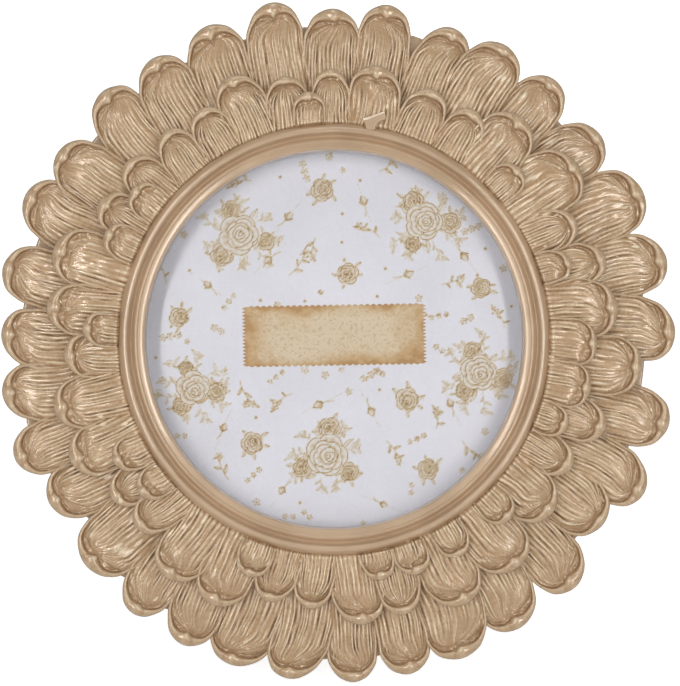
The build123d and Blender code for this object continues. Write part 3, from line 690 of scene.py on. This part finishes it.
def finish_edges(piece, width=None, angle=40):
    """Rounded edges, applied, where a width is given, and faces that all look outwards."""
    bm = bmesh.new()
    bm.from_mesh(piece.data)
    if width:
        sharp = [e for e in bm.edges if len(e.link_faces) == 2 and e.calc_face_angle() > math.radians(angle)]
        bmesh.ops.bevel(bm, geom=sharp, offset=width * MM, segments=2, affect="EDGES", profile=0.5,
                        clamp_overlap=True)
    bmesh.ops.recalc_face_normals(bm, faces=bm.faces)
    bm.to_mesh(piece.data)
    bm.free()
    if width:
        piece.data.set_sharp_from_angle(angle=math.radians(SHARP_ANGLE))
        for face in piece.data.polygons:
            if len(face.vertices) > FEW_CORNERS:
                face.use_smooth = False  # a broad flat face, which its rounded edge must not shade


casting.append(ring_piece())


def plate(name, layers, material, width, angle=40, back=1):
    """A plate through outlines at rising heights, its edges rounded. The back face runs backwards where back is -1."""
    points = [(x, y, z) for outline, z in layers for x, y in outline]
    n = len(layers[0][0])
    top = len(points) - n
    faces = [tuple(range(n))[::back], tuple(range(top, top + n))]
    for first in range(0, top, n):
        faces += [(first + i, first + (i + 1) % n, first + n + (i + 1) % n, first + n + i) for i in range(n)]
    piece = build(name, points, faces, material)
    finish_edges(piece, width, angle)
    return piece


# The small cast tab on the ring's edge, its upper edge broken by a slope that is painted pale as a highlight
lug_outline = ((7.5, 57.75), (13.15, 59.75), (13.65, 58.0), (13.05, 57.3), (12.2, 57.2), (11.2, 56.4),
               (10.87, 55.7), (10.8, 54.9), (8.5, 54.7), (8.15, 55.9), (7.8, 56.9))
lug_upper = ((7.75, 57.15), (13.3, 59.15), (13.5, 58.05), (12.95, 57.45), (12.1, 57.3), (11.05, 56.45),
             (10.72, 55.7), (10.65, 55.05), (8.65, 54.85), (8.3, 55.9), (7.95, 56.85))
lug_slope = ((7.62, 57.72), (13.12, 59.67), (13.22, 59.27), (7.72, 57.27))
lug = plate("cast_lug", ((lug_outline, 10.5), (lug_outline, 14.57), (lug_upper, 14.8)), plain_paint,
            0.1, angle=20, back=-1)
lug_highlight_edge = plate("lug_highlight_edge", ((lug_slope, 14.2), (lug_slope, 14.86)), highlight_paint, 0.12)
for piece in (*casting, lug_highlight_edge, lug):
    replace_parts(piece, "petal_frame")


# ---- glass and print
disc = [(REBATE_RADIUS * math.sin(a), REBATE_RADIUS * math.cos(a)) for a in np.arange(256) * TAU / 256]
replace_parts(plate("glass_sheet", ((disc, GLASS_BACK), (disc, GLASS_FRONT)), pane, 0.2), "glass_pane")


def plate_of_grid(name, x, y, low, high, material, values_name, values):
    """A plate whose upper face is the grid of points x, y. The values are painted on that face."""
    columns, rows = x.shape
    half_count = columns * rows
    upper, lower = (np.stack((x, y, z + 0 * x), axis=-1).reshape(-1, 3) for z in (high, low))
    i, j = np.meshgrid(np.arange(columns - 1), np.arange(rows - 1), indexing="ij")
    a = (i * rows + j).ravel()
    faces = np.stack((a, a + rows, a + rows + 1, a + 1), axis=-1).tolist()
    rim = ([i * rows for i in range(columns)] + [(columns - 1) * rows + j for j in range(1, rows)]
           + [i * rows + rows - 1 for i in range(columns - 2, -1, -1)] + list(range(rows - 2, 0, -1)))
    below = {r: half_count + n for n, r in enumerate(rim)}
    for a, b in zip(rim, rim[1:] + rim[:1]):
        faces.append((a, below[a], below[b], b))
    faces.append(tuple(below[r] for r in rim[::-1]))
    points = np.concatenate((upper, lower[rim]))
    painted = np.concatenate((values.ravel(), np.zeros(len(rim))))
    piece = build(name, points, faces, material, {values_name: painted})
    piece.data.set_sharp_from_angle(angle=math.radians(SHARP_ANGLE))
    return piece


STEM_WIDTH, STEM_STEPS = 0.17, 8


def turned(x, y, turn):
    """Places x, y as seen along and across the direction of turn."""
    return x * math.cos(turn) + y * math.sin(turn), -x * math.sin(turn) + y * math.cos(turn)


def away(x, y, distance, turn):
    return x + distance * math.cos(turn), y + distance * math.sin(turn)


def rose(x, y, radius, rng):
    """Tone of a drawn rose at places x, y from its middle: layers of petals, each darker towards its root."""
    tone = 0 * x
    off_x = off_y = 0.0
    for share, petals in ((1.0, 5), (0.79, 5), (0.60, 4), (0.42, 4), (0.26, 3), (0.13, 2)):
        r, a = np.hypot(x - off_x, y - off_y), np.arctan2(y - off_y, x - off_x)
        scallop = np.abs(np.sin(petals * (a - rng.uniform(0, TAU)) / 2)) ** 0.5
        rim = radius * share * (0.80 + 0.20 * scallop) * (1 + 0.08 * np.sin(a + rng.uniform(0, TAU)))
        deep = np.clip((rim - r) / (radius * 0.24), 0, 1)
        folds = 0.10 * np.sin(a * petals * 3 + rng.uniform(0, TAU)) * deep
        layer = 0.04 + 0.34 * deep ** 1.8 + 0.80 * bell(rim - r - 0.16, 0.18) + folds
        layer = layer + 0.45 * (1 - scallop) ** 4 * (1 - deep)
        inside = smooth(0.18, -0.12, r - rim)
        tone = tone * (1 - inside) + layer * inside
        off_x, off_y = away(off_x, off_y, 0.06 * radius, rng.uniform(0, TAU))
    return tone


def leaf(x, y, length, width, turn, tone=1.0):
    """Tone of a pointed leaf that starts at the origin."""
    u, v = turned(x, y, turn)
    u = u / length
    half = width / 2 * np.clip(4 * u * (1 - u), 0, 1) ** 0.8 * (1.25 - 0.5 * u)
    inside = smooth(0.16, -0.12, np.abs(v) - half) * (u > 0) * (u < 1)
    edge = bell(np.abs(v) - half, 0.17)
    return tone * inside * (0.15 + 0.10 * np.sign(v) + 0.45 * bell(v, 0.15) + 0.55 * edge)


def blossom(x, y, radius, turn, tone=1.0):
    """Tone of a small flower with five petals."""
    r, a = np.hypot(x, y), np.arctan2(y, x) - turn
    rim = radius * (0.42 + 0.58 * np.abs(np.cos(2.5 * a)) ** 0.7)
    inside = smooth(0.16, -0.1, r - rim)
    return tone * (inside * (0.14 + 0.62 * bell(rim - r - 0.05, 0.2)) + 0.7 * bell(r, radius * 0.2))


def bud(x, y, size, turn):
    """Tone of a rosebud on its stem, with two narrow leaves at its root."""
    u, v = turned(x, y, turn)
    half = 0.42 * size * np.clip(1 - (u / size - 0.35) ** 2 / 0.42, 0, 1) ** 0.6
    inside = smooth(0.16, -0.12, np.abs(v) - half)
    head = inside * (0.25 + 0.5 * bell(np.abs(v) - half, 0.2)
                     + 0.4 * bell(v - 0.25 * size * np.sin(u / size * 3), 0.18))
    foot = stem(u, v, [(-1.5 * size, 0.35 * size), (-0.8 * size, 0.08 * size), (-0.2 * size, 0.0)])
    sides = [leaf(u + 0.25 * size, v, 0.9 * size, 0.26 * size, t) for t in (0.75, -0.75)]
    return np.maximum.reduce([head, foot, *sides])


def stem(x, y, points, tone=0.6):
    """Tone of a drawn line through points."""
    points = np.array(points, float)
    nearest = np.full(x.shape, 99.0)
    for a, b in zip(points, points[1:]):
        along = np.clip(((x - a[0]) * (b[0] - a[0]) + (y - a[1]) * (b[1] - a[1])) / np.sum((b - a) ** 2), 0, 1)
        nearest = np.minimum(nearest, np.hypot(x - a[0] - along * (b[0] - a[0]), y - a[1] - along * (b[1] - a[1])))
    return tone * bell(nearest, STEM_WIDTH)


def dot(x, y, radius):
    return 0.75 * np.exp(-(np.hypot(x, y) / radius) ** 4)


def curve(turn, length, bend):
    """Points of a gently bent line from the origin."""
    points, place, heading = [(0, 0)], (0, 0), turn
    for _ in range(STEM_STEPS):
        heading += bend / STEM_STEPS
        place = away(*place, length / STEM_STEPS, heading)
        points.append(place)
    return points


# Places across and up from the window's middle, mm, and radii or headings. Between them small flowers are strewn.
bouquets = ((-25.0, 27.5, 5.6), (24.0, 31.0, 5.2), (-2.0, -31.0, 5.8), (-37.0, -13.0, 4.8), (38.5, -9.0, 5.0))
single_roses = ((-3.0, 39.5, 3.2), (3.5, 17.5, 3.0), (39.0, 13.5, 2.8), (-41.0, 6.0, 2.7), (-21.5, -27.5, 3.1),
                (19.5, -16.0, 3.3), (25.0, -34.5, 2.9))
sprig_places = ((-12.0, 17.0, 0.6), (12.0, 27.0, 2.2), (28.5, 14.5, 0.2), (-28.0, -37.0, 2.4), (14.0, -27.0, 5.6),
                (-11.5, -14.5, 3.4), (34.0, -27.0, 5.2), (-44.5, 15.0, 1.7), (12.0, 44.5, 0.3), (-22.0, 42.0, 2.9),
                (-25.0, -11.0, 4.9), (27.0, -23.5, 1.2), (45.0, 3.0, 1.5), (-5.0, 27.0, 4.3))
bud_places = ((-12.5, 32.0, 0.9), (-33.0, 14.0, 2.5), (9.5, -18.5, 5.2), (8.0, 36.0, 1.9), (19.0, 17.0, 0.4),
              (-13.5, -39.5, 4.1), (31.0, -17.5, 2.0), (12.5, -43.5, 5.9), (-29.5, -24.0, 1.2), (-3.5, -17.0, 3.6),
              (34.0, 22.5, 5.4), (-17.0, 21.5, 3.9))


def print_tones(x, y):
    """The ink's tone at each place of the sheet. The motifs are the builder's own."""
    rng = np.random.default_rng(41)
    tone = 0 * x

    def draw(cx, cy, reach, motif, *sizes, covers=False):
        """A motif round a place, drawn under what is there or, where it covers, over it."""
        near = np.hypot(x - cx, y - cy) < reach
        made = motif(x[near] - cx, y[near] - cy, *sizes)
        tone[near] = np.where(made > 0.03, made, tone[near]) if covers else np.maximum(tone[near], made)

    def sprig(cx, cy, turn, length, share=1.0):
        line = curve(turn, length, rng.uniform(-1.1, 1.1))
        draw(cx, cy, length + 2, stem, line, 0.55 * share)
        for n, (at_x, at_y) in enumerate(line[2::2]):
            side = turn + (1 if n % 2 else -1) * rng.uniform(0.5, 1.2)
            size = rng.uniform(1.5, 2.7)
            draw(cx + at_x, cy + at_y, 4, leaf, size, size * 0.40, side, share)
        draw(cx + line[-1][0], cy + line[-1][1], 3, blossom, 1.1, turn, share)

    def leafy_rose(cx, cy, radius, leaves):
        first = rng.uniform(0, TAU)
        for n in range(leaves):
            turn = first + n * TAU / leaves + rng.uniform(-0.4, 0.4)
            length = radius * rng.uniform(0.55, 0.8)
            bent = turn + rng.uniform(-0.6, 0.6)
            draw(*away(cx, cy, 0.85 * radius, turn), length + 1, leaf, length, length * 0.5, bent, 0.9)
        draw(cx, cy, radius * 1.1, rose, radius, rng, covers=True)

    for cx, cy, turn in sprig_places:
        sprig(cx, cy, turn, rng.uniform(4.5, 7.0))
    for cx, cy, turn in bud_places:
        draw(cx, cy, 6, bud, rng.uniform(1.7, 2.3), turn)
    for cx, cy, radius in single_roses:
        leafy_rose(cx, cy, radius, 5)
    for cx, cy, radius in bouquets:
        first = rng.uniform(0, TAU)
        for n in range(9):
            turn = first + n * TAU / 9
            sprig(*away(cx, cy, radius, turn), turn, rng.uniform(2.5, 5.5), 0.7)
        for n in range(3):
            turn = first + 0.5 + n * TAU / 3
            leafy_rose(*away(cx, cy, 1.25 * radius, turn), radius * rng.uniform(0.42, 0.6), 4)
        leafy_rose(cx, cy, radius, 6)
    placed = [(cx, cy, r * 2.1) for cx, cy, r in bouquets] + [(cx, cy, r * 1.6) for cx, cy, r in single_roses]
    placed += [(cx, cy, 3.6) for cx, cy, _ in (*sprig_places, *bud_places)]
    for _ in range(700):
        radius = rng.choice((1.3, 1.0, 0.45))
        cx, cy = rng.uniform(-49, 49, 2)
        if math.hypot(cx, cy) > 50 or any(math.hypot(cx - a, cy - b) < r + radius + 1.3 for a, b, r in placed):
            continue
        placed.append((cx, cy, 2.4))
        turn = rng.uniform(0, TAU)
        if radius > 0.9:
            for n in range(rng.integers(1, 4)):
                draw(*away(cx, cy, 2 * n, turn), 3, blossom, radius * 0.8, turn + n)
        else:
            draw(cx, cy, 2, dot, radius)
    return np.clip(tone, 0, 1)


# A square grid of points drawn out to a disc
u, v = np.meshgrid(*(np.linspace(-1, 1, 308),) * 2, indexing="ij")
sheet_x, sheet_y = REBATE_RADIUS * u * np.sqrt(1 - v ** 2 / 2), REBATE_RADIUS * v * np.sqrt(1 - u ** 2 / 2)
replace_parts(plate_of_grid("print_sheet", sheet_x, sheet_y, PRINT_BACK, PRINT_FRONT, paper, "tint",
                          print_tones(sheet_x, sheet_y)), "photo_print")


def label_piece():
    """The blank label: scalloped long edges and finely pinked ends."""
    half_x, half_y, turn, middle_up, sunk = 23.95, 7.95, math.radians(1.0), 1.1, 0.03
    u, v = np.linspace(-1, 1, 270), np.linspace(-1, 1, 150)
    scallop = 0.52 * np.abs(np.sin(u * 29 * math.pi / 2)) ** 0.8 - 0.35
    corner = -0.25 * bell(1 - np.abs(u), 0.02)
    pinked = 2 * np.abs((v * 8.5) % 1 - 0.5) - 0.5
    x = u[:, None] * (half_x + pinked[None, :])
    y = v[None, :] * (half_y + (scallop + corner)[:, None])
    edge = np.clip(np.minimum((half_x - np.abs(x)) / 9.0, (half_y - np.abs(y)) / 4.0), 0, 1)
    x, y = turned(x, y, -turn)
    return plate_of_grid("blank_label", x, y + middle_up, PRINT_FRONT - sunk, LABEL_FRONT, parchment, "edge", edge)


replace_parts(label_piece(), "photo_print")


# ---- CAD pieces that keep their shape
node_paints = (
    (fibre, "back_board", "strut_board"), (flock, "board_flocking", "strut_flocking"),
    (brass, "board_rivets", "strut_rivets", "hanger_rivets", "hanger_plate"),
    (zinc, "hinge_board_leaf", "hinge_strut_leaf", "hinge_pin", "turn_button_screws", "turn_button_1",
     "turn_button_2", "turn_button_3", "turn_button_4"),
)
for material, *names in node_paints:
    for name in names:
        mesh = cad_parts[name].data
        mesh.materials.clear()
        mesh.materials.append(material)


# ---- stage, lamps and camera
def face_point(x, y, z):
    return FACE @ Vector((x * MM, y * MM, z * MM))


# A white floor that keeps the object's shadow and shows as plain white where nothing shades it
FLOOR_HALF = 6.0
white, tree, p, _ = new_material("floor_white")
seen = node(tree, "LightPath").outputs["Is Camera Ray"]
fill(p, {"Base Color": grey(0.86), "Roughness": 0.9, "Specular IOR Level": 0.0, "Emission Color": grey(1),
         "Emission Strength": times(seen, 0.80)})
mesh = bpy.data.meshes.new("floor")
mesh.from_pydata([(FLOOR_HALF * x, FLOOR_HALF * y, 0) for x, y in ((-1, -1), (1, -1), (1, 1), (-1, 1))], [],
                 [(0, 1, 2, 3)])
mesh.materials.append(white)
floor = bpy.data.objects.new("floor", mesh)
scene.collection.objects.link(floor)

SEEN_LIGHT, REAL_LIGHT = 0.75, 0.25  # the surround's white for the camera, on top of the light it gives
world = bpy.data.worlds.new("studio")
scene.world = world
world.use_nodes = True
sky = world.node_tree
seen = node(sky, "LightPath").outputs["Is Camera Ray"]
strength = math_node("ADD", times(seen, SEEN_LIGHT), REAL_LIGHT)
fill(sky.nodes["Background"], {"Color": grey(1), "Strength": strength})
world.cycles_visibility.transmission = False  # as for the lamps
LAMP_TARGET = face_point(0, 0, 8)


def lamp(name, place, width, height, power):
    """A rectangular lamp at a place in face millimetres that points at the face."""
    data = bpy.data.lights.new(name, "AREA")
    data.shape = "RECTANGLE"
    data.size, data.size_y = width, height
    data.energy = power
    made = bpy.data.objects.new(name, data)
    scene.collection.objects.link(made)
    made.location = face_point(*place)
    made.rotation_euler = (LAMP_TARGET - made.location).to_track_quat("-Z", "Y").to_euler()
    made.visible_transmission = False  # the pane's clear share already lets the lamp through once
    made.visible_camera = False
    return made


lamp("left", (-400, 80, 810), 0.072, 0.70, 2.12)
lamp("right", (400, 20, 810), 0.072, 0.66, 1.78)
lamp("front", (0, 40, 1150), 0.25, 0.25, 2.05).visible_glossy = False  # without a veil on the pane
lamp("high", (0, 900, 420), 0.4, 0.4, 1.05)
lamp("behind", (420, 420, -900), 0.5, 0.5, 2.6)

camera_distance = 900.0
photo_width = 680.0
pixels_per_mm = 3.783  # at the petals' outline
outline_height = 6.0
focal_pixels = pixels_per_mm * (camera_distance - outline_height)
data = bpy.data.cameras.new("camera")
data.sensor_fit = "HORIZONTAL"
data.sensor_width = 36.0
data.lens = data.sensor_width * focal_pixels / photo_width
data.clip_start, data.clip_end = 0.05, 20.0
camera = bpy.data.objects.new("camera", data)
scene.collection.objects.link(camera)
camera.matrix_world = Matrix.Translation(face_point(1.52, -0.97, camera_distance)) @ FACE.to_3x3().to_4x4()
scene.camera = camera

scene.view_settings.view_transform = "Standard"
